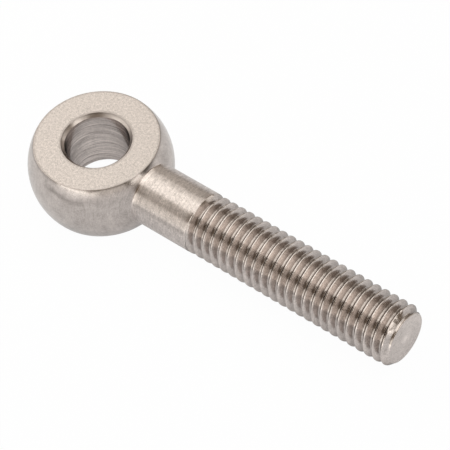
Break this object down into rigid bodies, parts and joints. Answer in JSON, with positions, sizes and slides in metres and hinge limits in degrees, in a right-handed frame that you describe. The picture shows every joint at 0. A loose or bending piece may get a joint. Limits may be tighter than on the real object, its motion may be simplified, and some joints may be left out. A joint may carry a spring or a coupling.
{
  "type": "fixed rod end",
  "caption": "Solid steel rod end: a flattened ball eye with a plain cross bore on a threaded shank, made in one piece.",
  "frame": {"origin": "centre of the eye: on the bore's axis, midway between the eye's two flats", "axes": "+Z along the bore's axis, out of the flat that faces up; +X along the shank, from the eye to the thread's tip; +Y completes the right-handed frame"},
  "size_m": [0.055, 0.018, 0.009],
  "materials": {
    "stainless_steel": "turned and milled stainless steel: satin ball, shank and thread, matt finely grained flats"
  },
  "bodies": {
    "root": {"eye_bolt": "stainless_steel"}
  },
  "joints": []
}
